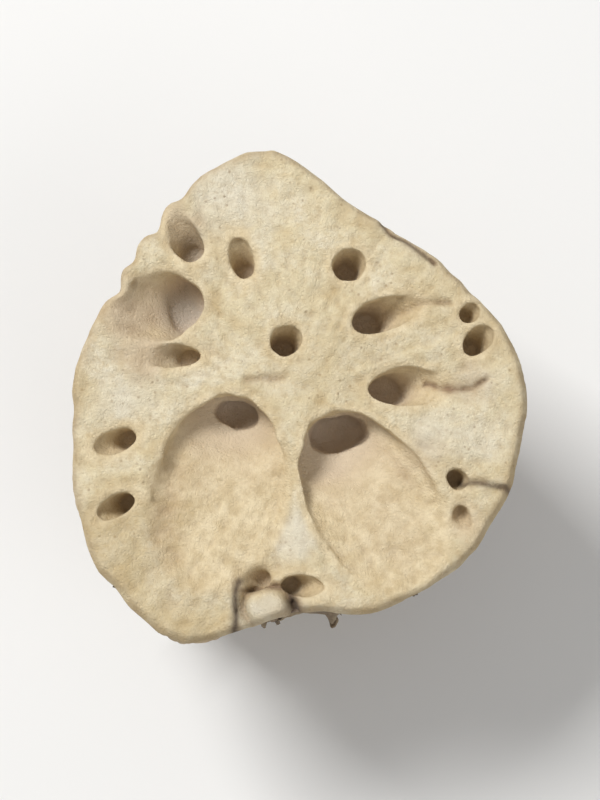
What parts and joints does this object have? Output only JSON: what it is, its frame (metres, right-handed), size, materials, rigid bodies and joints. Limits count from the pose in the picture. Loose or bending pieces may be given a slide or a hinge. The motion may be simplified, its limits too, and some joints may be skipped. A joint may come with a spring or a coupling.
{
  "type": "lotus root node",
  "caption": "Dried lotus root node with a wide cut face of radial air channels, a shrunken waist and a knobbly node ring; rests on its lower cut.",
  "frame": {"origin": "on the ground under the middle of the object's bounding box, in the plane of the lower cut", "axes": "+Z along the rhizome, towards the wide upper cut; -Y towards the rim's notch, between the two large scoops of the upper cut"},
  "size_m": [0.0288, 0.0314, 0.0237],
  "materials": {
    "dried_rhizome": "matt dried plant tissue: cream cut faces, pinkish tan skin, grey-brown node ring"
  },
  "bodies": {
    "root": {"lotus_root_node": "dried_rhizome"}
  },
  "joints": []
}
